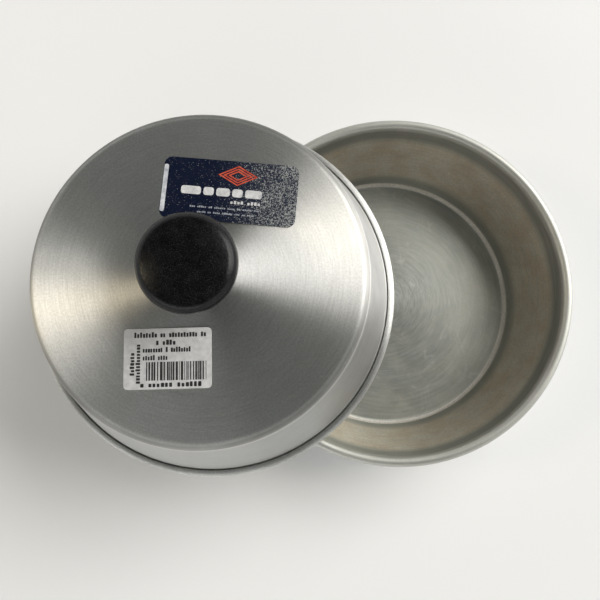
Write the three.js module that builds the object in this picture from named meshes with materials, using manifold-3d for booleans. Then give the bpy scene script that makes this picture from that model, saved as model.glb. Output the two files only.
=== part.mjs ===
// Burger cover and dish: two spun aluminium shells of one size. The dish stands open side up.
// The cover stands open side down, beside and partly over the dish, with its rim just above the
// dish's rim, and carries a mushroom knob that is screwed on from inside.
// Millimetres, +Z up. The origin is the centre of the dish's underside.

import * as THREE from 'three';
import * as BufferGeometryUtils from 'three/addons/utils/BufferGeometryUtils.js';
import Module from 'manifold-3d';

const wasm = await Module();
wasm.setup();

// Both shells
const SHEET = 1.2;
const RIM_RADIUS = 75;
const SHELL_HEIGHT = 45;
const CORNER_RADIUS = 3.5;
const BEAD_RADIUS = 2;
const FLARE = THREE.MathUtils.degToRad(15.6);
const CURL_SWEEP = THREE.MathUtils.degToRad(270);
const SHELL_SIDES = 60;
const CORNER_STEPS = 4;
const CURL_STEPS = 9;

// Where the cover stands against the dish
const COVER_SHIFT = -76.6;
const RIM_GAP = 0.4;

// Air left between pieces that touch
const GAP = 0.3;
const LABEL_GAP = 0.1;

// Screw M5 x 16 with a pan head and a cross recess, and the washers under its head
const SCREW_HOLE_RADIUS = 2.75;
const SCREW = {
  shankRadius: 2.35,
  length: 16,
  tipChamfer: 0.7,
  headRadius: 4.75,
  headHeight: 3.7,
  headEdge: 1.5,
  slotLength: 5,
  slotWidth: 1.1,
  slotDepth: 2,
};
const FLAT_WASHER = { innerRadius: 2.65, outerRadius: 5, thickness: 1 };
const SPRING_WASHER = { innerRadius: 2.65, outerRadius: 4.6, thickness: 1.2, slit: 0.8 };
const SCREW_SIDES = 32;

// Mushroom knob, hollow below, with a boss that holds the insert
const KNOB = {
  baseRadius: 11,
  waist: new THREE.Vector2(7.5, 10),
  shoulder: new THREE.Vector2(16.5, 13),
  capRadius: 16.5,
  capHeight: 22,
  edgeRadius: 4,
  domeAngle: THREE.MathUtils.degToRad(13.5),
  hollowRadius: 8.2,
  hollowDepth: 8,
  bossRadius: 6.4,
  bossLift: 0.6,
};
const KNOB_SIDES = 48;
const FLANK_STEPS = 10;
const EDGE_STEPS = 4;
const DOME_STEPS = 3;
const INSERT = { outerRadius: 4.2, innerRadius: 2.65, length: 12, lift: 1 };

// Stickers on the cover's plate: place from the cover's axis, and turn about it
const BRAND_LABEL = {
  width: 49, height: 22.8, corner: 3, x: 11.7, y: 30, turn: THREE.MathUtils.degToRad(-7.5),
};
const BARCODE_LABEL = {
  width: 30.5, height: 21, corner: 1.5, x: -11.3, y: -28.8, turn: THREE.MathUtils.degToRad(-1),
};
const LABEL_THICKNESS = 0.15;
const LABEL_CORNER_STEPS = 4;

const aluminium = { color: 0xb9bab2, roughness: 0.35, metalness: 1 };
const phenolic = { color: 0x151618, roughness: 0.4, metalness: 0 };
const brass = { color: 0xc09a4a, roughness: 0.35, metalness: 1 };
const zincSteel = { color: 0xbfc2c6, roughness: 0.3, metalness: 1 };
const navyPaper = { color: 0x1d2440, roughness: 0.35, metalness: 0 };
const whitePaper = { color: 0xdedfe3, roughness: 0.5, metalness: 0 };

function piece(name, geometry, look) {
  const mesh = new THREE.Mesh(geometry, new THREE.MeshStandardMaterial(look));
  mesh.name = name;
  return mesh;
}

function arc(centre, radius, from, to, steps) {
  return Array.from({ length: steps + 1 }, (_, step) => {
    const angle = from + ((to - from) * step) / steps;
    return new THREE.Vector2(
      centre.x + radius * Math.cos(angle),
      centre.y + radius * Math.sin(angle),
    );
  });
}

// Revolves an outline of (radius, height) points about Z
function revolve(outline, sides) {
  return new THREE.LatheGeometry(outline, sides).rotateX(Math.PI / 2);
}

function closed(outline) {
  return [...outline, outline[0].clone()];
}

function ring(innerRadius, outerRadius, thickness) {
  return closed([
    new THREE.Vector2(innerRadius, 0),
    new THREE.Vector2(outerRadius, 0),
    new THREE.Vector2(outerRadius, thickness),
    new THREE.Vector2(innerRadius, thickness),
  ]);
}

function toSolid(geometry) {
  const bare = geometry.clone();
  bare.deleteAttribute('normal');
  bare.deleteAttribute('uv');
  const merged = BufferGeometryUtils.mergeVertices(bare);
  return new wasm.Manifold(new wasm.Mesh({
    numProp: 3,
    vertProperties: new Float32Array(merged.attributes.position.array),
    triVerts: new Uint32Array(merged.index.array),
  }));
}

function fromSolid(solid) {
  const mesh = solid.getMesh();
  const geometry = new THREE.BufferGeometry();
  geometry.setAttribute('position', new THREE.BufferAttribute(mesh.vertProperties, 3));
  geometry.setIndex(new THREE.BufferAttribute(mesh.triVerts, 1));
  return geometry;
}

// The sheet's section, open side up: plate, round corner, flared wall and a rim rolled outwards.
// The flat plate's radius follows from the rim, the flare and the corner.
function shellOutline(holeRadius) {
  const curlCentre = new THREE.Vector2(RIM_RADIUS - BEAD_RADIUS, SHELL_HEIGHT - BEAD_RADIUS);
  const boreRadius = BEAD_RADIUS - SHEET;
  const wallTop = new THREE.Vector2(
    curlCentre.x - boreRadius * Math.cos(FLARE),
    curlCentre.y + boreRadius * Math.sin(FLARE),
  );
  const wallFoot = CORNER_RADIUS * (1 - Math.sin(FLARE));
  const plateRadius =
    wallTop.x - (wallTop.y - wallFoot) * Math.tan(FLARE) - CORNER_RADIUS * Math.cos(FLARE);
  const cornerCentre = new THREE.Vector2(plateRadius, CORNER_RADIUS);
  const curlStart = Math.PI - FLARE;
  const curlEnd = curlStart - CURL_SWEEP;
  return [
    new THREE.Vector2(holeRadius, 0),
    ...arc(cornerCentre, CORNER_RADIUS, -Math.PI / 2, -FLARE, CORNER_STEPS),
    ...arc(curlCentre, boreRadius, curlStart, curlEnd, CURL_STEPS),
    ...arc(curlCentre, BEAD_RADIUS, curlEnd, curlStart, CURL_STEPS),
    ...arc(cornerCentre, CORNER_RADIUS - SHEET, -FLARE, -Math.PI / 2, CORNER_STEPS),
    new THREE.Vector2(holeRadius, SHEET),
  ];
}

function dishShell() {
  return piece('dish_shell', revolve(shellOutline(0), SHELL_SIDES), aluminium);
}

function coverShell() {
  const geometry = revolve(closed(shellOutline(SCREW_HOLE_RADIUS)), SHELL_SIDES);
  geometry.rotateX(Math.PI);
  geometry.translate(0, 0, SHELL_HEIGHT);
  return piece('cover_shell', geometry, aluminium);
}

function knob() {
  const insertRoom = INSERT.outerRadius + GAP;
  const insertTop = INSERT.lift + INSERT.length + GAP;
  const flank = new THREE.CubicBezierCurve(
    new THREE.Vector2(KNOB.baseRadius, 0),
    KNOB.waist,
    KNOB.shoulder,
    new THREE.Vector2(KNOB.capRadius, KNOB.capHeight),
  );
  const edgeCentre = new THREE.Vector2(KNOB.capRadius - KNOB.edgeRadius, KNOB.capHeight);
  const edge = arc(edgeCentre, KNOB.edgeRadius, 0, Math.PI / 2 - KNOB.domeAngle, EDGE_STEPS);
  const edgeEnd = edge.at(-1);
  const domeRadius = edgeEnd.x / Math.sin(KNOB.domeAngle);
  const domeCentre = new THREE.Vector2(0, edgeEnd.y - domeRadius * Math.cos(KNOB.domeAngle));
  const dome = arc(
    domeCentre, domeRadius, Math.PI / 2 - KNOB.domeAngle, Math.PI / 2, DOME_STEPS,
  );
  dome.at(-1).setX(0);
  const outline = [
    new THREE.Vector2(0, insertTop),
    new THREE.Vector2(insertRoom, insertTop),
    new THREE.Vector2(insertRoom, KNOB.bossLift),
    new THREE.Vector2(KNOB.bossRadius, KNOB.bossLift),
    new THREE.Vector2(KNOB.bossRadius, KNOB.hollowDepth),
    new THREE.Vector2(KNOB.hollowRadius, KNOB.hollowDepth),
    new THREE.Vector2(KNOB.hollowRadius, 0),
    ...flank.getPoints(FLANK_STEPS),
    ...edge.slice(1),
    ...dome.slice(1),
  ];
  return piece('knob', revolve(outline, KNOB_SIDES), phenolic);
}

function knobInsert() {
  const outline = ring(INSERT.innerRadius, INSERT.outerRadius, INSERT.length);
  return piece('knob_insert', revolve(outline, SCREW_SIDES), brass);
}

// Head down, with the plane under the head at height 0
function knobScrew() {
  const headEdgeCentre = new THREE.Vector2(
    SCREW.headRadius - SCREW.headEdge,
    -SCREW.headHeight + SCREW.headEdge,
  );
  const outline = [
    new THREE.Vector2(0, -SCREW.headHeight),
    ...arc(headEdgeCentre, SCREW.headEdge, -Math.PI / 2, 0, EDGE_STEPS),
    new THREE.Vector2(SCREW.headRadius, 0),
    new THREE.Vector2(SCREW.shankRadius, 0),
    new THREE.Vector2(SCREW.shankRadius, SCREW.length - SCREW.tipChamfer),
    new THREE.Vector2(SCREW.shankRadius - SCREW.tipChamfer, SCREW.length),
    new THREE.Vector2(0, SCREW.length),
  ];
  const slot = new THREE.BoxGeometry(SCREW.slotLength, SCREW.slotWidth, 2 * SCREW.slotDepth);
  slot.translate(0, 0, -SCREW.headHeight);
  const crossSlot = slot.clone().rotateZ(Math.PI / 2);
  const solid = toSolid(revolve(outline, SCREW_SIDES))
    .subtract(toSolid(slot))
    .subtract(toSolid(crossSlot));
  return piece('knob_screw', fromSolid(solid), zincSteel);
}

function flatWasher() {
  const { innerRadius, outerRadius, thickness } = FLAT_WASHER;
  return piece('flat_washer', revolve(ring(innerRadius, outerRadius, thickness), SCREW_SIDES),
    zincSteel);
}

function springWasher() {
  const { innerRadius, outerRadius, thickness, slit } = SPRING_WASHER;
  const body = toSolid(revolve(ring(innerRadius, outerRadius, thickness), SCREW_SIDES));
  const cut = new THREE.BoxGeometry(2 * outerRadius, slit, 3 * thickness);
  cut.translate(outerRadius, 0, thickness / 2);
  return piece('spring_washer', fromSolid(body.subtract(toSolid(cut))), zincSteel);
}

function label(name, { width, height, corner, x, y, turn }, look) {
  const right = width / 2 - corner;
  const top = height / 2 - corner;
  const corners = [[right, top, 0], [-right, top, 1], [-right, -top, 2], [right, -top, 3]];
  const outline = corners.flatMap(([cx, cy, quarter]) => arc(
    new THREE.Vector2(cx, cy), corner,
    (quarter * Math.PI) / 2, ((quarter + 1) * Math.PI) / 2, LABEL_CORNER_STEPS,
  ));
  const geometry = new THREE.ExtrudeGeometry(new THREE.Shape(outline), {
    depth: LABEL_THICKNESS,
    bevelEnabled: false,
  });
  const mesh = piece(name, geometry, look);
  mesh.position.set(x, y, SHELL_HEIGHT + LABEL_GAP);
  mesh.rotation.z = turn;
  return mesh;
}

// The cover's own frame has its rim at height 0 and its axis on Z. The stack under the plate
// runs down from the plate: flat washer, spring washer, screw head.
function coverAssembly() {
  const cover = new THREE.Group();
  cover.position.set(COVER_SHIFT, 0, SHELL_HEIGHT + RIM_GAP);

  const flat = flatWasher();
  flat.position.z = SHELL_HEIGHT - SHEET - GAP - FLAT_WASHER.thickness;
  const spring = springWasher();
  spring.position.z = flat.position.z - GAP - SPRING_WASHER.thickness;
  const screw = knobScrew();
  screw.position.z = spring.position.z - GAP;

  const handle = new THREE.Group();
  handle.position.z = SHELL_HEIGHT + GAP;
  const insert = knobInsert();
  insert.position.z = INSERT.lift;
  handle.add(knob(), insert);

  cover.add(
    coverShell(),
    flat,
    spring,
    screw,
    handle,
    label('brand_label', BRAND_LABEL, navyPaper),
    label('barcode_label', BARCODE_LABEL, whitePaper),
  );
  return cover;
}

const burgerCoverAndDish = new THREE.Group();
burgerCoverAndDish.add(dishShell(), coverAssembly());

export default burgerCoverAndDish;
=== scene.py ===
import math
import random

import bmesh
import bpy
from mathutils import Matrix, Vector


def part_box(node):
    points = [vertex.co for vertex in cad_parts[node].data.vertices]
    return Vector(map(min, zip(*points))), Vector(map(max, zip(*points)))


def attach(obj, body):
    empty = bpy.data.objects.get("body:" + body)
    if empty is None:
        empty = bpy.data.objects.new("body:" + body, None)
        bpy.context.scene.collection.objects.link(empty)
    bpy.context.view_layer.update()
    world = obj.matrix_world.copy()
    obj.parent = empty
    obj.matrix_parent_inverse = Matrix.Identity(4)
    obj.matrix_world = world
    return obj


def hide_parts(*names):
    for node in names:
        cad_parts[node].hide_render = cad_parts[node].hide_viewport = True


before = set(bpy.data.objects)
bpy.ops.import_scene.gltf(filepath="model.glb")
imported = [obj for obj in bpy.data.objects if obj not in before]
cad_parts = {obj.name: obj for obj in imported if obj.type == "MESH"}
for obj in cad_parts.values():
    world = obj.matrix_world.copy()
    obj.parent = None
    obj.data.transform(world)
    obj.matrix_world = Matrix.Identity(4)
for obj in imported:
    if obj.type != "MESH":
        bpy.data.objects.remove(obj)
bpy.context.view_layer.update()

MM = 0.001


# ---------------------------------------------------------------- sizes from the frame

def foot_of(node):
    """The middle of a node's lowest face."""
    low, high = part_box(node)
    return Vector(((low.x + high.x) / 2, (low.y + high.y) / 2, low.z))


def radius_of(node):
    """Half a round node's width."""
    low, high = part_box(node)
    return (high.x - low.x) / 2


def height_of(node):
    low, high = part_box(node)
    return high.z - low.z


# The two shells, as the CAD has them
SHEET = 1.2 * MM
BEAD_RADIUS = 2 * MM
CORNER_RADIUS = 3.5 * MM
FLARE = math.radians(15.6)
CURL_SWEEP = math.radians(274)
SCREW_HOLE_RADIUS = 2.75 * MM
SHELL_SIDES = 288
RIM_RADIUS = radius_of("dish_shell")
SHELL_HEIGHT = height_of("dish_shell")
dish_foot = foot_of("dish_shell")
cover_foot = foot_of("cover_shell")


# ---------------------------------------------------------------- outlines

def arc(centre, radius, start, end, steps):
    """Points of an arc, both ends included. Points are pairs, in an outline (radius, height)."""
    points = []
    for step in range(steps + 1):
        angle = start + (end - start) * step / steps
        points.append((
            centre[0] + radius * math.cos(angle),
            centre[1] + radius * math.sin(angle),
        ))
    return points


def line(start, end, steps):
    """Points between two points, without the ends."""
    return [
        (
            start[0] + (end[0] - start[0]) * step / steps,
            start[1] + (end[1] - start[1]) * step / steps,
        )
        for step in range(1, steps)
    ]


def bezier(a, b, c, d, steps):
    """Points of a curve from a to d that b and c pull on."""
    points = []
    for step in range(steps + 1):
        t = step / steps
        u = 1 - t
        weights = (u ** 3, 3 * u * u * t, 3 * u * t * t, t ** 3)
        points.append(tuple(
            sum(w * p[axis] for w, p in zip(weights, (a, b, c, d))) for axis in (0, 1)
        ))
    return points


# ---------------------------------------------------------------- meshes

def add_piece(name, mesh, place, material, body, node=None):
    """Puts a piece in place, riding on a CAD body. It stands for its CAD node, if it has one."""
    piece = bpy.data.objects.new(name, mesh)
    bpy.context.scene.collection.objects.link(piece)
    piece.data.materials.append(material)
    piece.matrix_world = place
    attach(piece, body)
    if node:
        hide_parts(node)


def revolve(name, outline, sides, warp=None, smooth_angle=40):
    """Turns an outline about Z. An outline that starts and ends on the axis is capped there;
    any other one closes on itself. warp moves a point, given as (radius, height, angle)."""
    capped = outline[0][0] == 0
    body = outline[1:-1] if capped else outline
    bm = bmesh.new()
    rings = []
    for radius, height in body:
        ring = []
        for side in range(sides):
            angle = 2 * math.pi * side / sides
            r, z = warp(radius, height, angle) if warp else (radius, height)
            ring.append(bm.verts.new((r * math.cos(angle), r * math.sin(angle), z)))
        rings.append(ring)
    pairs = list(zip(rings, rings[1:]))
    if not capped:
        pairs.append((rings[-1], rings[0]))
    for ring, above in pairs:
        for side in range(sides):
            after = (side + 1) % sides
            bm.faces.new((ring[side], ring[after], above[after], above[side]))
    if capped:
        for ring, (radius, height), first in ((rings[0], outline[0], True),
                                              (rings[-1], outline[-1], False)):
            z = warp(0, height, 0)[1] if warp else height
            tip = bm.verts.new((0, 0, z))
            for side in range(sides):
                after = (side + 1) % sides
                corner = (ring[after], ring[side]) if first else (ring[side], ring[after])
                bm.faces.new((tip, *corner))
    return finish_mesh(name, bm, smooth_angle)


def finish_mesh(name, bm, smooth_angle=40):
    """Faces out, smooth where the surface is round and sharp where it turns a corner."""
    bmesh.ops.recalc_face_normals(bm, faces=bm.faces)
    for face in bm.faces:
        face.smooth = True
    for edge in bm.edges:
        if len(edge.link_faces) == 2:
            edge.smooth = edge.calc_face_angle(0) < math.radians(smooth_angle)
    mesh = bpy.data.meshes.new(name)
    bm.to_mesh(mesh)
    bm.free()
    return mesh


def slab(name, outlines, low, high, chamfer=0.0):
    """Flat shapes of even thickness, each outline a list of (x, y). A chamfer softens the top."""
    bm = bmesh.new()
    for outline in outlines:
        middle = Vector((
            sum(x for x, y in outline) / len(outline), sum(y for x, y in outline) / len(outline),
        ))
        layers = [(low, 0), (high - chamfer, 0)]
        if chamfer:
            layers.append((high, chamfer))
        rings = []
        for height, inset in layers:
            ring = []
            for point in outline:
                arm = Vector(point) - middle
                x, y = middle + arm * (1 - inset / arm.length)
                ring.append(bm.verts.new((x, y, height)))
            rings.append(ring)
        count = len(outline)
        for ring, above in zip(rings, rings[1:]):
            for side in range(count):
                after = (side + 1) % count
                bm.faces.new((ring[side], ring[after], above[after], above[side]))
        bm.faces.new(rings[0])
        bm.faces.new(rings[-1])
    return finish_mesh(name, bm, smooth_angle=30)


def hollow_slab(name, frames, low, high):
    """Flat frames of even thickness, each given by its outer and its inner outline."""
    bm = bmesh.new()
    for outer, inner in frames:
        rings = [
            [bm.verts.new((x, y, height)) for x, y in outline]
            for outline, height in ((outer, low), (outer, high), (inner, high), (inner, low))
        ]
        for ring, beyond in zip(rings, rings[1:] + rings[:1]):
            for side in range(len(ring)):
                after = (side + 1) % len(ring)
                bm.faces.new((ring[side], ring[after], beyond[after], beyond[side]))
    return finish_mesh(name, bm, smooth_angle=30)


def rectangle(x0, y0, x1, y1):
    return [(x0, y0), (x1, y0), (x1, y1), (x0, y1)]


def rounded(x0, y0, x1, y1, radius, steps):
    """A rectangle's outline with round corners."""
    centres = ((x1 - radius, y1 - radius), (x0 + radius, y1 - radius),
               (x0 + radius, y0 + radius), (x1 - radius, y0 + radius))
    return [
        point for quarter, centre in enumerate(centres)
        for point in arc(centre, radius, quarter * math.pi / 2, (quarter + 1) * math.pi / 2, steps)
    ]


# ---------------------------------------------------------------- material tools

def new_material(name):
    """A material, and a function that adds a node with its settings and inputs."""
    material = bpy.data.materials.new(name)
    material.use_nodes = True
    tree = material.node_tree
    tree.nodes.clear()

    def add(kind, inputs=None, **settings):
        node = tree.nodes.new("ShaderNode" + kind)
        for key, value in settings.items():
            setattr(node, key, value)
        for key, value in (inputs or {}).items():
            if isinstance(value, bpy.types.NodeSocket):
                tree.links.new(value, node.inputs[key])
            else:
                node.inputs[key].default_value = value
        return node

    return material, add


def maths(add, operation, a, b=0.0, clamp=False):
    return add("Math", {0: a, 1: b}, operation=operation, use_clamp=clamp).outputs[0]


def blend(add, factor, a, b):
    """Mixes two colours."""
    node = add("Mix", {"Factor": factor}, data_type="RGBA")
    for index, value in ((6, a), (7, b)):
        if isinstance(value, bpy.types.NodeSocket):
            node.id_data.links.new(value, node.inputs[index])
        else:
            node.inputs[index].default_value = (*value, 1)
    return node.outputs[2]


def remap(add, value, low, high, to_low, to_high, curve="LINEAR"):
    node = add("MapRange", {
        "Value": value, "From Min": low, "From Max": high, "To Min": to_low, "To Max": to_high,
    }, interpolation_type=curve)
    return node.outputs["Result"]


def fuzz(add, vector, scale, detail=2.0, rough=0.5):
    node = add("TexNoise", {
        "Vector": vector, "Scale": scale, "Detail": detail, "Roughness": rough,
    })
    return node.outputs["Fac"]


def own_place(add):
    """A point's place in its piece's own frame."""
    return add("TexCoord").outputs["Object"]


def relief(add, height, strength, depth):
    """The normal of a bumpy surface."""
    return add("Bump", {"Height": height, "Strength": strength, "Distance": depth}).outputs[0]


def shade(add, inputs):
    """The shader, joined to the material's output."""
    shader = add("BsdfPrincipled", inputs)
    add("OutputMaterial", {"Surface": shader.outputs[0]})


# ---------------------------------------------------------------- shell materials

def shell_height(add):
    """Height above the plate's outer face, in a shell's own frame."""
    return add("SeparateXYZ", {0: own_place(add)}).outputs[2]


def from_axis(add):
    """The arm from a shell's own axis to a point."""
    return add("VectorMath", {0: own_place(add), 1: (1, 1, 0)}, operation="MULTIPLY").outputs[0]


def axis_distance(add):
    return add("VectorMath", {0: from_axis(add)}, operation="LENGTH").outputs["Value"]


def inner_side(add):
    """1 on a shell's inner wall, 0 on its outer wall."""
    normal = add("NewGeometry").outputs["Normal"]
    normal = add("VectorTransform", {"Vector": normal}, vector_type="NORMAL",
                 convert_from="WORLD", convert_to="OBJECT").outputs[0]
    facing = add("VectorMath", {0: normal, 1: from_axis(add)}, operation="DOT_PRODUCT")
    return maths(add, "LESS_THAN", facing.outputs["Value"], 0.0)


def band(add, height, start, full, full_end, end):
    """1 between two heights, fading to 0 outside them."""
    up = remap(add, height, start, full, 0.0, 1.0, "SMOOTHSTEP")
    down = remap(add, height, full_end, end, 1.0, 0.0, "SMOOTHSTEP")
    return maths(add, "MULTIPLY", up, down)


def spun_lines(add, turn, pitch):
    """Lines left by spinning: noise that changes slowly round the axis and fast across it."""
    around = add("VectorMath", {0: from_axis(add)}, operation="NORMALIZE").outputs[0]
    around = add("VectorMath", {0: around, 3: turn}, operation="SCALE").outputs[0]
    across = maths(add, "ADD", axis_distance(add), shell_height(add))
    lift = add("CombineXYZ", {2: maths(add, "DIVIDE", across, pitch)}).outputs[0]
    place = add("VectorMath", {0: around, 1: lift}, operation="ADD").outputs[0]
    return fuzz(add, place, 1.0, 2.0, 0.6)


def hairlines(add, angle, seed, length, width):
    """Thin straight scratches along one direction: the narrow bands where a stretched noise
    passes its middle value, broken up by a coarse mask."""
    half_band = 0.022
    patch_scale = 70.0
    along = add("VectorRotate", {"Vector": own_place(add), "Angle": math.radians(angle)},
                rotation_type="Z_AXIS").outputs[0]
    shifted = add("VectorMath", {0: along, 1: (seed, seed, 0)}, operation="ADD").outputs[0]
    stretched = add("VectorMath", {0: shifted, 1: (1 / length, 1 / width, 1 / length)},
                    operation="MULTIPLY").outputs[0]
    middle = maths(add, "ABSOLUTE", maths(add, "SUBTRACT", fuzz(add, stretched, 1.0, 0.0), 0.5))
    mask = remap(add, fuzz(add, shifted, patch_scale, 1.0), 0.53, 0.63, 0.0, 1.0)
    return maths(add, "MULTIPLY", remap(add, middle, 0.0, half_band, 1.0, 0.0), mask)


# Three sets of scratches: direction in degrees, shift of the noise, length and width
SCRATCHES = (
    (38, 1, 34 * MM, 2.6 * MM),
    (-52, 3, 26 * MM, 2.2 * MM),
    (85, 5, 30 * MM, 3.0 * MM),
)


def aluminium(name, rough, spin, seed, tone_and_painted_light_of):
    """Spun aluminium. spin is how far its gloss is drawn out across the spun lines, and
    tone_and_painted_light_of gives the base colour, painted light and shade included, and what to
    add to the roughness, from a cloudy noise."""
    material, add = new_material(name)
    place = add("VectorMath", {0: own_place(add), 1: (seed, 0, 0)}, operation="ADD").outputs[0]
    fine = spun_lines(add, 4.5, 0.32 * MM)
    broad = spun_lines(add, 3.0, 1.1 * MM)
    cloud = fuzz(add, place, 38.0, 3.0, 0.6)
    smear = fuzz(add, place, 120.0, 4.0, 0.65)
    grain = fuzz(add, place, 1300.0, 3.0, 0.7)
    scratches = 0.0
    for angle, shift, length, width in SCRATCHES:
        more = hairlines(add, angle, seed + shift, length, width)
        scratches = maths(add, "MAXIMUM", more, scratches)
    on_flat = remap(add, shell_height(add), 2.5 * MM, 6 * MM, 1.0, 0.12)
    scratches = maths(add, "MULTIPLY", scratches, on_flat)

    tone, extra = tone_and_painted_light_of(add, cloud)
    tone = blend(add, remap(add, fine, 0.35, 0.65, 0.0, 0.40), tone, (0.54, 0.54, 0.52))
    tone = blend(add, remap(add, grain, 0.38, 0.62, 0.0, 0.30), tone, (0.38, 0.375, 0.35))
    tone = blend(add, remap(add, broad, 0.4, 0.7, 0.0, 0.14), tone, (0.86, 0.85, 0.82))
    tone = blend(add, maths(add, "MULTIPLY", scratches, 0.18), tone, (0.9, 0.9, 0.88))

    roughness = remap(add, smear, 0.3, 0.7, rough - 0.03, rough + 0.035)
    roughness = maths(add, "ADD", roughness, remap(add, broad, 0.3, 0.7, -0.015, 0.015))
    roughness = maths(add, "ADD", roughness, maths(add, "MULTIPLY", scratches, 0.045))
    roughness = maths(add, "ADD", roughness, extra)

    lines = maths(add, "ADD", maths(add, "MULTIPLY", fine, 0.6), broad)
    tangent = add("Tangent", direction_type="RADIAL", axis="Z").outputs[0]
    shade(add, {
        "Base Color": tone, "Metallic": 1.0, "Roughness": roughness,
        "Normal": relief(add, lines, 0.25, 0.02 * MM),
        "Anisotropic": spin, "Anisotropic Rotation": 0.25, "Tangent": tangent,
    })
    return material


def clean_tone_and_painted_shade(add, cloud):
    """The cover: a bright even plate, painted shade on the wall and a painted dark reflection in a
    line round the corner.
    """
    height = shell_height(add)
    tone = blend(add, remap(add, cloud, 0.35, 0.65, 0.0, 1.0), (0.76, 0.76, 0.735),
                 (0.86, 0.855, 0.83))
    # Painted shade: the wall between plate and rim is painted a darker blue-grey than the plate.
    wall = band(add, height, 2.4 * MM, 5 * MM, 38 * MM, 42 * MM)
    tone = blend(add, maths(add, "MULTIPLY", wall, 0.9), tone, (0.43, 0.435, 0.435))
    # Painted dark reflection: a dark line painted round the corner between plate and wall.
    corner = band(add, height, 0.1 * MM, 0.6 * MM, 1.9 * MM, 2.9 * MM)
    tone = blend(add, maths(add, "MULTIPLY", corner, 0.85), tone, (0.27, 0.265, 0.25))
    return tone, maths(add, "MULTIPLY", wall, -0.10)


def mottled_tone_and_painted_light(add, cloud):
    """The dish: a grey-green floor that is darker towards the middle, a wall that is plain outside
    and brown inside, the brown a painted warm reflection, with painted shade at the inner wall's
    foot and under the rim, and a painted highlight round the corner."""
    height = shell_height(add)
    stain = fuzz(add, own_place(add), 95.0, 5.0, 0.65)
    tone = blend(add, remap(add, cloud, 0.36, 0.64, 0.0, 1.0), (0.41, 0.425, 0.375),
                 (0.55, 0.54, 0.465))
    tone = blend(add, remap(add, stain, 0.45, 0.65, 0.0, 0.5), tone, (0.35, 0.375, 0.345))
    # Darker towards the middle of the floor.
    toward_middle = remap(add, axis_distance(add), 15 * MM, 48 * MM, 0.7, 0.0)
    tone = blend(add, toward_middle, tone, (0.26, 0.28, 0.25))
    wall = band(add, height, 5 * MM, 11 * MM, 33 * MM, 39 * MM)
    # Painted reflection: the inner wall is painted brown, as if it reflected warm surroundings;
    # the stain noise varies it.
    brown = blend(add, remap(add, stain, 0.4, 0.62, 0.0, 1.0), (1.0, 0.92, 0.77),
                  (0.90, 0.75, 0.57))
    inside = inner_side(add)
    plain = blend(add, maths(add, "MULTIPLY", wall, 0.8), tone, (0.72, 0.715, 0.69))
    tone = blend(add, maths(add, "MULTIPLY", wall, 0.9), tone, brown)
    tone = blend(add, inside, plain, tone)
    # Painted shade: the inner wall is painted darker at its foot, where it meets the floor.
    foot = band(add, height, 3.0 * MM, 5.0 * MM, 6.5 * MM, 13 * MM)
    tone = blend(add, maths(add, "MULTIPLY", foot, maths(add, "MULTIPLY", inside, 0.45)), tone,
                 (0.33, 0.32, 0.28))
    # Painted shade: darker just under the rim bead, inside and out.
    painted_shade_under_rim = band(add, height, 36 * MM, 39 * MM, 41.5 * MM, 42.5 * MM)
    tone = blend(add, maths(add, "MULTIPLY", painted_shade_under_rim, 0.6), tone, (0.26, 0.25, 0.22))
    # Painted highlight: a bright cream ring painted round the corner between floor and wall.
    corner = band(add, height, 1.22 * MM, 1.4 * MM, 2.8 * MM, 3.4 * MM)
    tone = blend(add, maths(add, "MULTIPLY", corner, 0.95), tone, (0.96, 0.92, 0.85))
    bead = band(add, height, 41.8 * MM, 42.8 * MM, 50 * MM, 51 * MM)
    tone = blend(add, maths(add, "MULTIPLY", bead, 0.6), tone, (0.52, 0.515, 0.475))
    extra = maths(add, "ADD", maths(add, "MULTIPLY", corner, 0.28),
                  maths(add, "MULTIPLY", bead, 0.10))
    return tone, extra


# ---------------------------------------------------------------- other materials

def moulded_phenolic():
    """Black moulded plastic with a fine grain, a few pale specks and uneven gloss."""
    material, add = new_material("moulded_phenolic")
    position = own_place(add)
    grain = fuzz(add, position, 1900.0, 3.0, 0.65)
    dust = fuzz(add, position, 260.0, 4.0, 0.7)
    patches = fuzz(add, position, 70.0, 2.0, 0.5)
    specks = remap(add, fuzz(add, position, 3400.0, 1.0, 0.5), 0.58, 0.72, 0.0, 1.0)
    tone = blend(add, remap(add, dust, 0.4, 0.75, 0.0, 1.0), (0.0015, 0.0015, 0.0018),
                 (0.007, 0.007, 0.008))
    tone = blend(add, maths(add, "MULTIPLY", specks, 0.35), tone, (0.06, 0.06, 0.065))
    roughness = remap(add, patches, 0.3, 0.7, 0.13, 0.22)
    roughness = maths(add, "ADD", roughness, remap(add, dust, 0.3, 0.7, -0.04, 0.06))
    height = maths(add, "ADD", grain, maths(add, "MULTIPLY", dust, 0.8))
    shade(add, {
        "Base Color": tone, "Roughness": roughness, "IOR": 1.5, "Specular IOR Level": 0.22,
        "Normal": relief(add, height, 0.8, 0.08 * MM),
    })
    return material


def metal(name, dark, light, rough, grain_scale):
    """A plated or plain metal with a fine grain and patches of tarnish."""
    material, add = new_material(name)
    position = own_place(add)
    patches = fuzz(add, position, grain_scale * 0.12, 3.0, 0.6)
    grain = fuzz(add, position, grain_scale, 3.0, 0.65)
    tone = blend(add, remap(add, patches, 0.35, 0.65, 0.0, 1.0), dark, light)
    tone = blend(add, remap(add, grain, 0.4, 0.7, 0.0, 0.35), tone, dark)
    roughness = remap(add, patches, 0.3, 0.7, rough - 0.06, rough + 0.08)
    shade(add, {
        "Base Color": tone, "Metallic": 1.0, "Roughness": roughness,
        "Normal": relief(add, grain, 0.25, 0.02 * MM),
    })
    return material


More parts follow.
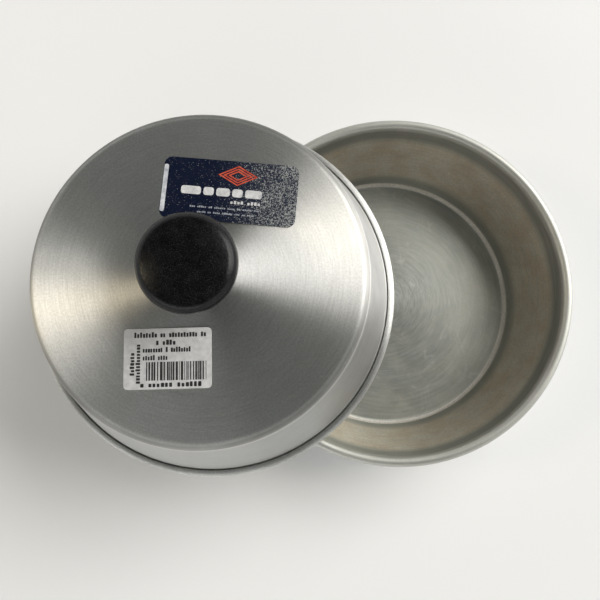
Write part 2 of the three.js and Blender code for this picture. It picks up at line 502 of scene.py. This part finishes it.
def navy_foil():
    """Dark blue film with silver glitter, its blue painted lighter and its glitter thicker towards
    the right, a painted sheen where the light falls.
    """
    material, add = new_material("navy_foil")
    position = own_place(add)
    along = add("SeparateXYZ", {0: position}).outputs[0]
    # Painted sheen: share rises towards the right, thickening the glitter there.
    share = remap(add, along, -6 * MM, 20 * MM, 0.0, 1.0)
    patches = fuzz(add, position, 110.0, 3.0, 0.6)
    spot = fuzz(add, position, 2600.0, 1.0, 0.6)
    amount = maths(add, "MULTIPLY", share, remap(add, patches, 0.35, 0.6, 0.6, 1.0))
    edge = maths(add, "SUBTRACT", 0.70, maths(add, "MULTIPLY", amount, 0.25))
    glitter = maths(add, "MULTIPLY", maths(add, "SUBTRACT", spot, edge), 12.0, clamp=True)
    # Painted sheen: the blue is lighter towards the right.
    base = blend(add, share, (0.003, 0.006, 0.022), (0.022, 0.027, 0.045))
    tone = blend(add, glitter, base, (0.68, 0.69, 0.68))
    gloss = remap(add, patches, 0.3, 0.7, 0.22, 0.36)
    shade(add, {
        "Base Color": tone, "Metallic": maths(add, "MULTIPLY", glitter, 0.8),
        "Roughness": gloss, "Specular IOR Level": 0.3,
        "Normal": relief(add, spot, 0.15, 0.02 * MM),
    })
    return material


def printed(name, dark, light, rough, metallic=0.0):
    """Ink or foil with a fine screen grain and slightly uneven cover."""
    material, add = new_material(name)
    position = own_place(add)
    cover = fuzz(add, position, 420.0, 3.0, 0.6)
    grain = fuzz(add, position, 3600.0, 2.0, 0.6)
    tone = blend(add, remap(add, cover, 0.35, 0.65, 0.0, 1.0), dark, light)
    tone = blend(add, remap(add, grain, 0.5, 0.75, 0.0, 0.5), tone, dark)
    shade(add, {
        "Base Color": tone, "Metallic": metallic,
        "Roughness": remap(add, cover, 0.3, 0.7, rough - 0.05, rough + 0.08),
        "Normal": relief(add, grain, 0.12, 0.02 * MM),
    })
    return material


# ---------------------------------------------------------------- shells

def shell_outline(hole_radius):
    """The sheet's section, open side up, as in the CAD but with finer steps."""
    curl = (RIM_RADIUS - BEAD_RADIUS, SHELL_HEIGHT - BEAD_RADIUS)
    bore = BEAD_RADIUS - SHEET
    wall_top = (curl[0] - bore * math.cos(FLARE), curl[1] + bore * math.sin(FLARE))
    wall_foot = CORNER_RADIUS * (1 - math.sin(FLARE))
    plate_radius = (
        wall_top[0] - (wall_top[1] - wall_foot) * math.tan(FLARE)
        - CORNER_RADIUS * math.cos(FLARE)
    )
    corner = (plate_radius, CORNER_RADIUS)
    curl_start = math.pi - FLARE
    curl_end = curl_start - CURL_SWEEP
    outer_corner = arc(corner, CORNER_RADIUS, -math.pi / 2, -FLARE, 12)
    inner_corner = arc(corner, CORNER_RADIUS - SHEET, -FLARE, -math.pi / 2, 12)
    inner_curl = arc(curl, bore, curl_start, curl_end, 24)
    outer_curl = arc(curl, BEAD_RADIUS, curl_end, curl_start, 32)
    start = (hole_radius, 0.0)
    end = (hole_radius, SHEET)
    return [
        start, *line(start, outer_corner[0], 26), *outer_corner,
        *line(outer_corner[-1], inner_curl[0], 18), *inner_curl,
        *outer_curl, *line(outer_curl[-1], inner_corner[0], 18), *inner_corner,
        *line(inner_corner[-1], end, 26), end,
    ]


def hand_spun(seed, dents):
    """Small faults of a spun shell: a plate that isn't quite flat, faint ripples where the
    tool passed, and shallow dents, each (angle, height, width, depth)."""
    phase = random.Random(seed).uniform(0, math.tau)
    bow = 0.10 * MM
    ripple = 0.02 * MM
    ripple_pitch = 5.5 * MM

    def warp(radius, height, angle):
        share = radius / RIM_RADIUS
        lift = bow * share * share * math.sin(2 * angle + phase)
        lift += 0.5 * bow * share * math.sin(3 * angle + 2 * phase)
        lift *= 1 - min(1, height / (0.5 * SHELL_HEIGHT))
        swell = ripple * math.sin(math.tau * (radius + height) / ripple_pitch)
        swell *= max(0, 1 - height / (3 * SHEET))
        push = 0
        for dent_angle, dent_height, width, depth in dents:
            turn = math.atan2(math.sin(angle - dent_angle), math.cos(angle - dent_angle))
            across = turn * radius / width
            along = (height - dent_height) / width
            push += depth * math.exp(-across * across - along * along)
        return radius - push * min(1, share * share), height + lift + swell

    return warp


def make_dish(material):
    dents = [
        (math.radians(200), 30 * MM, 7 * MM, 0.25 * MM),
        (math.radians(320), 18 * MM, 6 * MM, 0.20 * MM),
        (math.radians(75), 36 * MM, 5 * MM, 0.18 * MM),
    ]
    mesh = revolve("dish", shell_outline(0.0), SHELL_SIDES, hand_spun(4, dents))
    place = Matrix.Translation(dish_foot)
    add_piece("dish", mesh, place, material, "dish", "dish_shell")


def make_cover(material):
    dents = [
        (math.radians(250), 26 * MM, 6 * MM, 0.22 * MM),
        (math.radians(100), 34 * MM, 5 * MM, 0.16 * MM),
    ]
    outline = shell_outline(SCREW_HOLE_RADIUS)
    mesh = revolve("cover", outline, SHELL_SIDES, hand_spun(9, dents))
    plate_centre = cover_foot + Vector((0, 0, height_of("cover_shell")))
    place = Matrix.Translation(plate_centre) @ Matrix.Rotation(math.pi, 4, "X")
    add_piece("cover", mesh, place, material, "cover", "cover_shell")


# ---------------------------------------------------------------- knob

KNOB_CAP_HEIGHT = 22 * MM
KNOB_EDGE_RADIUS = 4 * MM
KNOB_DOME_ANGLE = math.radians(13.5)
KNOB_SIDES = 160


def knob_outline():
    cap_radius = radius_of("knob")
    base_radius = 11 * MM
    hollow_radius = 8.2 * MM
    hollow_depth = 8 * MM
    boss_radius = 6.4 * MM
    boss_lift = 0.6 * MM
    insert_room = 4.5 * MM
    insert_top = 13.3 * MM
    waist = (7.5 * MM, 10 * MM)
    shoulder = (cap_radius, 13 * MM)
    flank = bezier((base_radius, 0), waist, shoulder, (cap_radius, KNOB_CAP_HEIGHT), 40)
    edge_centre = (cap_radius - KNOB_EDGE_RADIUS, KNOB_CAP_HEIGHT)
    edge = arc(edge_centre, KNOB_EDGE_RADIUS, 0, math.pi / 2 - KNOB_DOME_ANGLE, 16)
    dome_radius = edge[-1][0] / math.sin(KNOB_DOME_ANGLE)
    dome_centre = (0, edge[-1][1] - dome_radius * math.cos(KNOB_DOME_ANGLE))
    dome = arc(dome_centre, dome_radius, math.pi / 2 - KNOB_DOME_ANGLE, math.pi / 2, 18)
    dome[-1] = (0, dome[-1][1])
    return [
        (0, insert_top), (insert_room, insert_top), (insert_room, boss_lift),
        (boss_radius, boss_lift), (boss_radius, hollow_depth), (hollow_radius, hollow_depth),
        (hollow_radius, 0), *flank, *edge[1:], *dome[1:],
    ]


def make_knob(material):
    mesh = revolve("knob_black", knob_outline(), KNOB_SIDES)
    place = Matrix.Translation(foot_of("knob"))
    add_piece("knob_black", mesh, place, material, "knob", "knob")


# ---------------------------------------------------------------- fastenings

THREAD_PITCH = 0.8 * MM
THREAD_DEPTH = 0.42 * MM
SCREW_HEAD_HEIGHT = 3.7 * MM
SCREW_SIDES = 64
SCREW_CLEARANCE_RADIUS = 2.65 * MM
WASHER_SIDES = 96
RADIUS_TOLERANCE = 0.01 * MM


def threaded(radius_of_thread, first, last):
    """A screw thread that reaches inwards from the part of a surface that lies at one radius."""
    def warp(radius, height, angle):
        if abs(radius - radius_of_thread) > RADIUS_TOLERANCE or not first <= height <= last:
            return radius, height
        turn = (height / THREAD_PITCH - angle / math.tau) % 1
        depth = THREAD_DEPTH * abs(2 * turn - 1)
        fade = min(1, (height - first) / THREAD_PITCH, (last - height) / THREAD_PITCH)
        return radius - depth * fade, height

    return warp


def cross(reach, slim):
    """A plus sign's outline: four arms, each as wide as twice slim."""
    arm = [(slim, slim), (slim, reach), (-slim, reach)]
    outline = []
    for quarter in range(4):
        turn = Matrix.Rotation(quarter * math.pi / 2, 2)
        outline += [tuple(turn @ Vector(point)) for point in arm]
    return outline


def cut(mesh, name, mouth, mouth_height, bottom, bottom_height):
    """Cuts a tapered pocket into a mesh, given by its outline at the mouth and at the bottom."""
    bm = bmesh.new()
    top = [bm.verts.new((x, y, mouth_height)) for x, y in mouth]
    base = [bm.verts.new((x, y, bottom_height)) for x, y in bottom]
    bm.faces.new(top)
    bm.faces.new(base)
    for side in range(len(top)):
        after = (side + 1) % len(top)
        bm.faces.new((top[side], top[after], base[after], base[side]))
    plug = bpy.data.objects.new(name + "_plug", finish_mesh(name + "_plug", bm))
    body = bpy.data.objects.new(name, mesh)
    for item in (plug, body):
        bpy.context.scene.collection.objects.link(item)
    modifier = body.modifiers.new("cut", "BOOLEAN")
    modifier.object = plug
    modifier.solver = "EXACT"
    bpy.context.view_layer.update()
    done = bpy.data.meshes.new_from_object(
        body.evaluated_get(bpy.context.evaluated_depsgraph_get()))
    bpy.data.objects.remove(plug)
    bpy.data.objects.remove(body)
    bm = bmesh.new()
    bm.from_mesh(done)
    sliver = 0.004 * MM
    bmesh.ops.remove_doubles(bm, verts=bm.verts, dist=sliver)
    bmesh.ops.dissolve_degenerate(bm, edges=bm.edges, dist=sliver)
    return finish_mesh(name, bm, smooth_angle=35)


def make_screw(material):
    head_radius = radius_of("knob_screw")
    length = height_of("knob_screw") - SCREW_HEAD_HEIGHT
    shank_radius = 2.35 * MM
    head_edge = 1.5 * MM
    tip_chamfer = 0.7 * MM
    fillet = 0.25 * MM
    bevel = 0.15 * MM
    thread_start = 2.0 * MM
    shank_end = length - tip_chamfer
    shank = line((shank_radius, fillet), (shank_radius, shank_end), steps=170)
    outline = [
        (0, -SCREW_HEAD_HEIGHT),
        *arc((head_radius - head_edge, head_edge - SCREW_HEAD_HEIGHT), head_edge,
             -math.pi / 2, 0, 12),
        (head_radius, -bevel), (head_radius - bevel, 0), (shank_radius + fillet, 0),
        *shank, (shank_radius, shank_end), (shank_radius - tip_chamfer, length), (0, length),
    ]
    mesh = revolve("screw", outline, SCREW_SIDES,
                   threaded(shank_radius, thread_start, shank_end), smooth_angle=50)
    clear = 0.2 * MM
    recess_depth = 2.0 * MM
    mesh = cut(mesh, "screw", cross(2.5 * MM, 0.55 * MM), -SCREW_HEAD_HEIGHT - clear,
               cross(1.2 * MM, 0.4 * MM), recess_depth - SCREW_HEAD_HEIGHT)
    place = Matrix.Translation(foot_of("knob_screw") + Vector((0, 0, SCREW_HEAD_HEIGHT)))
    add_piece("screw", mesh, place, material, "cover", "knob_screw")


def make_flat_washer(material):
    outer = radius_of("flat_washer")
    inner = SCREW_CLEARANCE_RADIUS
    thick = height_of("flat_washer")
    edge = 0.2 * MM
    burr = 0.1 * MM
    outline = [
        (inner, burr), (inner + burr, 0), (outer - burr, 0), (outer, burr),
        *arc((outer - edge, thick - edge), edge, 0, math.pi / 2, 5),
        *arc((inner + edge, thick - edge), edge, math.pi / 2, math.pi, 5),
    ]
    mesh = revolve("washer_flat", outline, WASHER_SIDES)
    place = Matrix.Translation(foot_of("flat_washer"))
    add_piece("washer_flat", mesh, place, material, "cover", "flat_washer")


def make_spring_washer(material):
    """One turn of square wire whose two cut ends stand a little apart in height."""
    outer = 4.6 * MM
    inner = SCREW_CLEARANCE_RADIUS
    thick = height_of("spring_washer")
    gap = 0.8 * MM
    rise = 0.24 * MM
    edge = 0.15 * MM
    steps = 120
    section = rounded(inner, -thick / 2, outer, thick / 2, edge, 3)
    half_gap = gap / (inner + outer)
    bm = bmesh.new()
    rings = []
    for step in range(steps + 1):
        share = step / steps
        angle = half_gap + (math.tau - 2 * half_gap) * share
        lift = rise * (share - 0.5)
        rings.append([
            bm.verts.new((radius * math.cos(angle), radius * math.sin(angle), height + lift))
            for radius, height in section
        ])
    for ring, after in zip(rings, rings[1:]):
        for side in range(len(ring)):
            beside = (side + 1) % len(ring)
            bm.faces.new((ring[side], ring[beside], after[beside], after[side]))
    bm.faces.new(rings[0])
    bm.faces.new(rings[-1])
    mesh = finish_mesh("washer_spring", bm, smooth_angle=30)
    middle = foot_of("spring_washer").z + thick / 2
    place = Matrix.Translation((cover_foot.x, cover_foot.y, middle))
    add_piece("washer_spring", mesh, place, material, "cover", "spring_washer")


def make_insert(material):
    """The threaded brass sleeve moulded into the knob, straight-knurled outside."""
    outer = radius_of("knob_insert")
    bore = SCREW_CLEARANCE_RADIUS + THREAD_DEPTH
    length = height_of("knob_insert")
    edge = 0.4 * MM
    teeth = 28
    tooth_depth = 0.12 * MM
    sides = 6 * teeth
    cut_thread = threaded(bore, 0, length)

    def warp(radius, height, angle):
        if abs(radius - outer) < RADIUS_TOLERANCE:
            return radius - tooth_depth * (1 + math.cos(teeth * angle)) / 2, height
        return cut_thread(radius, height, angle)

    outline = [
        (bore, edge), (bore + edge, 0), (outer - edge, 0), (outer, edge),
        *line((outer, edge), (outer, length - edge), steps=12), (outer, length - edge),
        (outer - edge, length), (bore + edge, length), (bore, length - edge),
        *line((bore, length - edge), (bore, edge), steps=110),
    ]
    mesh = revolve("insert", outline, sides, warp, smooth_angle=50)
    place = Matrix.Translation(foot_of("knob_insert"))
    add_piece("insert", mesh, place, material, "knob", "knob_insert")


# ---------------------------------------------------------------- stickers

PRINT_THICKNESS = 0.03 * MM
NAVY_STICKER = {"size": (49 * MM, 22.8 * MM), "corner": 3 * MM, "turn": math.radians(-7.5)}
WHITE_STICKER = {"size": (30.5 * MM, 21 * MM), "corner": 1.5 * MM, "turn": math.radians(-1)}


def make_sticker(name, node, shape, paper, prints):
    """The sticker itself, then each layer of print on it, given as its name, its material, the
    function that makes its mesh and its outlines."""
    thick = height_of(node)
    width, height = shape["size"]
    outline = rounded(-width / 2, -height / 2, width / 2, height / 2, shape["corner"], 8)
    place = Matrix.Translation(foot_of(node)) @ Matrix.Rotation(shape["turn"], 4, "Z")
    chamfer = 0.04 * MM
    mesh = slab(name, [outline], 0, thick, chamfer)
    add_piece(name, mesh, place, paper, "cover", node)
    sunk = PRINT_THICKNESS / 3
    for layer_name, ink, build, outlines in prints:
        layer = build(layer_name, outlines, thick - sunk, thick + PRINT_THICKNESS)
        add_piece(layer_name, layer, place, ink, "cover")


def dashes(x0, x1, y, height, words, gap):
    """A row of plain bars, one for each share of its length."""
    step = (x1 - x0 + gap) / sum(words)
    outlines = []
    x = x0
    for word in words:
        outlines.append(rounded(x, y - height / 2, x + word * step - gap, y + height / 2,
                                height * 0.3, 4))
        x += word * step
    return outlines


def blocks(x0, x1, y, height, words, seed):
    """A row of small blocks in groups, where a line of print would be. They spell nothing."""
    draw = random.Random(seed)
    step = (x1 - x0) / (sum(words) + len(words) - 1)
    outlines = []
    x = x0
    for word in words:
        for _ in range(word):
            wide = step * draw.uniform(0.62, 0.82)
            tall = height * draw.choice((0.72, 0.72, 0.86, 1.0))
            foot = y - height / 2
            outlines.append(rounded(x, foot, x + wide, foot + tall, wide * 0.2, 2))
            x += step
        x += step
    return outlines


def diamond(centre, reach, flatten):
    return [
        (centre[0] + reach * x, centre[1] + reach * flatten * y)
        for x, y in ((0, 1), (1, 0), (0, -1), (-1, 0))
    ]


def make_brand_sticker():
    white = printed("ink_white", (0.50, 0.50, 0.51), (0.74, 0.74, 0.74), 0.35)
    grey = printed("ink_grey", (0.24, 0.26, 0.30), (0.40, 0.42, 0.46), 0.4)
    red = printed("ink_red", (0.46, 0.05, 0.025), (0.74, 0.12, 0.05), 0.38)
    foil = printed("foil_silver", (0.55, 0.58, 0.64), (0.92, 0.94, 0.98), 0.3, 0.35)
    mark_centre = (2.6 * MM, 6.0 * MM)
    mark_band = 0.95 * MM
    flatten = 0.52
    mark = [
        (diamond(mark_centre, reach, flatten), diamond(mark_centre, reach - mark_band, flatten))
        for reach in (7.2 * MM, 5.4 * MM, 3.6 * MM)
    ]
    name_bars = dashes(-17.4 * MM, 11.8 * MM, -0.5 * MM, 3.0 * MM, (7, 4, 5, 4, 6), 0.9 * MM)
    subtitle = blocks(0.8 * MM, 11.8 * MM, -3.9 * MM, 1.2 * MM, (4, 4), 3)
    small_print = [
        *blocks(-13.6 * MM, 11.6 * MM, -6.4 * MM, 0.7 * MM, (3, 5, 2, 6, 4, 2, 5, 3), 5),
        *blocks(-10.8 * MM, 9.8 * MM, -8.3 * MM, 0.7 * MM, (5, 2, 4, 6, 3, 2, 4), 6),
    ]
    strip = [rounded(-24.3 * MM, -9.2 * MM, -22.7 * MM, 8.4 * MM, 0.6 * MM, 4)]
    make_sticker("sticker_navy", "brand_label", NAVY_STICKER, navy_foil(), [
        ("print_mark", red, hollow_slab, mark),
        ("print_name", white, slab, name_bars + subtitle),
        ("print_small", grey, slab, small_print),
        ("print_strip", foil, slab, strip),
    ])


def bars(x0, x1, low, high, seed):
    """Upright bars of random widths. They spell nothing."""
    draw = random.Random(seed)
    unit = 0.2 * MM
    outlines = []
    x = x0
    while x < x1 - 3 * unit:
        wide = unit * draw.choice((1, 2, 2, 3, 4))
        outlines.append(rectangle(x, low, x + wide, high))
        x += wide + unit * draw.choice((1, 1, 2, 2, 3))
    return outlines


def turned(outlines, x, y):
    """Outlines laid out along +X, stood up so that they run along +Y from (x, y)."""
    return [[(x - b, y + a) for a, b in outline] for outline in outlines]


def make_price_sticker():
    paper = printed("paper_white", (0.47, 0.47, 0.47), (0.59, 0.59, 0.595), 0.5)
    black = printed("ink_black", (0.006, 0.006, 0.007), (0.02, 0.02, 0.022), 0.45)
    rows = [
        *blocks(-11.6 * MM, 13.6 * MM, 8.3 * MM, 1.9 * MM, (8, 2, 10, 2), 11),
        *blocks(-4.0 * MM, 3.0 * MM, 5.6 * MM, 1.8 * MM, (1, 4), 12),
        *blocks(-8.6 * MM, 8.2 * MM, 3.1 * MM, 1.8 * MM, (8, 1, 8), 13),
        *blocks(-8.6 * MM, 0.2 * MM, 0.4 * MM, 1.8 * MM, (5, 4), 14),
        *bars(-7.4 * MM, 14.0 * MM, -7.5 * MM, -1.1 * MM, 21),
        *blocks(-9.4 * MM, 12.0 * MM, -8.9 * MM, 1.7 * MM, (1, 6, 6), 15),
        *turned(blocks(0, 8.0 * MM, 0, 1.6 * MM, (7,), 16), -12.3 * MM, -5.6 * MM),
        *turned(blocks(0, 13.8 * MM, 0, 1.6 * MM, (13,), 17), -10.3 * MM, -8.4 * MM),
    ]
    make_sticker("sticker_white", "barcode_label", WHITE_STICKER, paper, [
        ("print_rows", black, slab, rows),
    ])


# ---------------------------------------------------------------- stage

FLOOR_REACH = 15
FLOOR_GAP = 0.1 * MM


def make_floor():
    material, add = new_material("pale_floor")
    tone = blend(add, fuzz(add, own_place(add), 3.0), (0.86, 0.86, 0.86), (0.9, 0.9, 0.9))
    shade(add, {"Base Color": tone, "Roughness": 0.8})
    bm = bmesh.new()
    bmesh.ops.create_grid(bm, x_segments=1, y_segments=1, size=FLOOR_REACH)
    mesh = bpy.data.meshes.new("floor")
    bm.to_mesh(mesh)
    bm.free()
    mesh.materials.append(material)
    floor = bpy.data.objects.new("floor", mesh)
    floor.location.z = dish_foot.z - FLOOR_GAP
    bpy.context.scene.collection.objects.link(floor)


def add_light(name, kind, azimuth, elevation, distance, power, colour):
    """A light that stands round the object and looks at it."""
    target = Vector((cover_foot.x / 2, 0, SHELL_HEIGHT))
    data = bpy.data.lights.new(name, kind)
    data.energy = power
    data.color = colour
    turn, rise = math.radians(azimuth), math.radians(elevation)
    toward = Vector((
        math.cos(rise) * math.cos(turn), math.cos(rise) * math.sin(turn), math.sin(rise),
    ))
    light = bpy.data.objects.new(name, data)
    light.location = target + toward * distance
    light.rotation_euler = toward.to_track_quat("Z", "Y").to_euler()
    bpy.context.scene.collection.objects.link(light)
    return data


def area_light(name, azimuth, elevation, distance, size, power, colour):
    """A soft box."""
    data = add_light(name, "AREA", azimuth, elevation, distance, power, colour)
    data.shape = "RECTANGLE"
    data.size, data.size_y = size


def soft_sun(azimuth, elevation, spread, strength, colour):
    """A broad even light that reaches the whole floor alike."""
    data = add_light("soft_sun", "SUN", azimuth, elevation, 1.0, strength, colour)
    data.angle = math.radians(spread)


def make_lights():
    area_light("key", azimuth=32, elevation=50, distance=1.1, size=(0.85, 0.42), power=4.3,
               colour=(1.0, 0.98, 0.945))
    soft_sun(azimuth=19, elevation=30, spread=50, strength=2.1, colour=(1.0, 0.99, 0.97))
    area_light("side", azimuth=176, elevation=42, distance=1.2, size=(0.2, 0.3), power=1.5,
               colour=(1.0, 0.85, 0.60))
    area_light("front", azimuth=245, elevation=22, distance=1.4, size=(1.6, 0.4), power=2.5,
               colour=(0.98, 0.99, 1.0))


def make_world():
    """A room that is dim overhead, pale at the sides and as grey as the floor at its foot."""
    world = bpy.data.worlds.new("studio")
    bpy.context.scene.world = world
    world.use_nodes = True
    tree = world.node_tree
    tree.nodes.clear()
    direction = tree.nodes.new("ShaderNodeTexCoord")
    axes = tree.nodes.new("ShaderNodeSeparateXYZ")
    ramp = tree.nodes.new("ShaderNodeValToRGB")
    background = tree.nodes.new("ShaderNodeBackground")
    output = tree.nodes.new("ShaderNodeOutputWorld")
    tree.links.new(direction.outputs["Generated"], axes.inputs[0])
    tree.links.new(axes.outputs[2], ramp.inputs[0])
    tree.links.new(ramp.outputs[0], background.inputs[0])
    tree.links.new(background.outputs[0], output.inputs[0])
    far_floor, overhead = ramp.color_ramp.elements
    far_floor.position = 0.0
    far_floor.color = (0.66, 0.66, 0.65, 1)
    overhead.position = 0.6
    overhead.color = (0.125, 0.132, 0.125, 1)
    for height in (0.12, 0.25):
        ramp.color_ramp.elements.new(height).color = (1.15, 1.15, 1.14, 1)


def make_camera():
    data = bpy.data.cameras.new("camera")
    data.sensor_width = 36
    data.lens = 37.2
    data.clip_start = 0.01
    camera = bpy.data.objects.new("camera", data)
    camera.location = (-40.7 * MM, -40.8 * MM, 305.4 * MM)
    camera.rotation_euler = (math.radians(8.03), math.radians(0.5), math.radians(-2.49))
    bpy.context.scene.collection.objects.link(camera)
    bpy.context.scene.camera = camera


make_camera()
make_world()
make_floor()
make_lights()

make_dish(aluminium("aluminium_mottled", rough=0.42, spin=0.3, seed=0.0,
                    tone_and_painted_light_of=mottled_tone_and_painted_light))
make_cover(aluminium("aluminium_clean", rough=0.44, spin=0.97, seed=7.0,
                     tone_and_painted_light_of=clean_tone_and_painted_shade))
make_knob(moulded_phenolic())
zinc = metal("zinc_plate", (0.50, 0.51, 0.53), (0.70, 0.71, 0.73), 0.3, 1400.0)
make_screw(zinc)
make_flat_washer(zinc)
make_spring_washer(zinc)
make_insert(metal("turned_brass", (0.52, 0.35, 0.12), (0.78, 0.58, 0.25), 0.32, 1200.0))
make_brand_sticker()
make_price_sticker()

bpy.context.scene.view_settings.view_transform = "Standard"
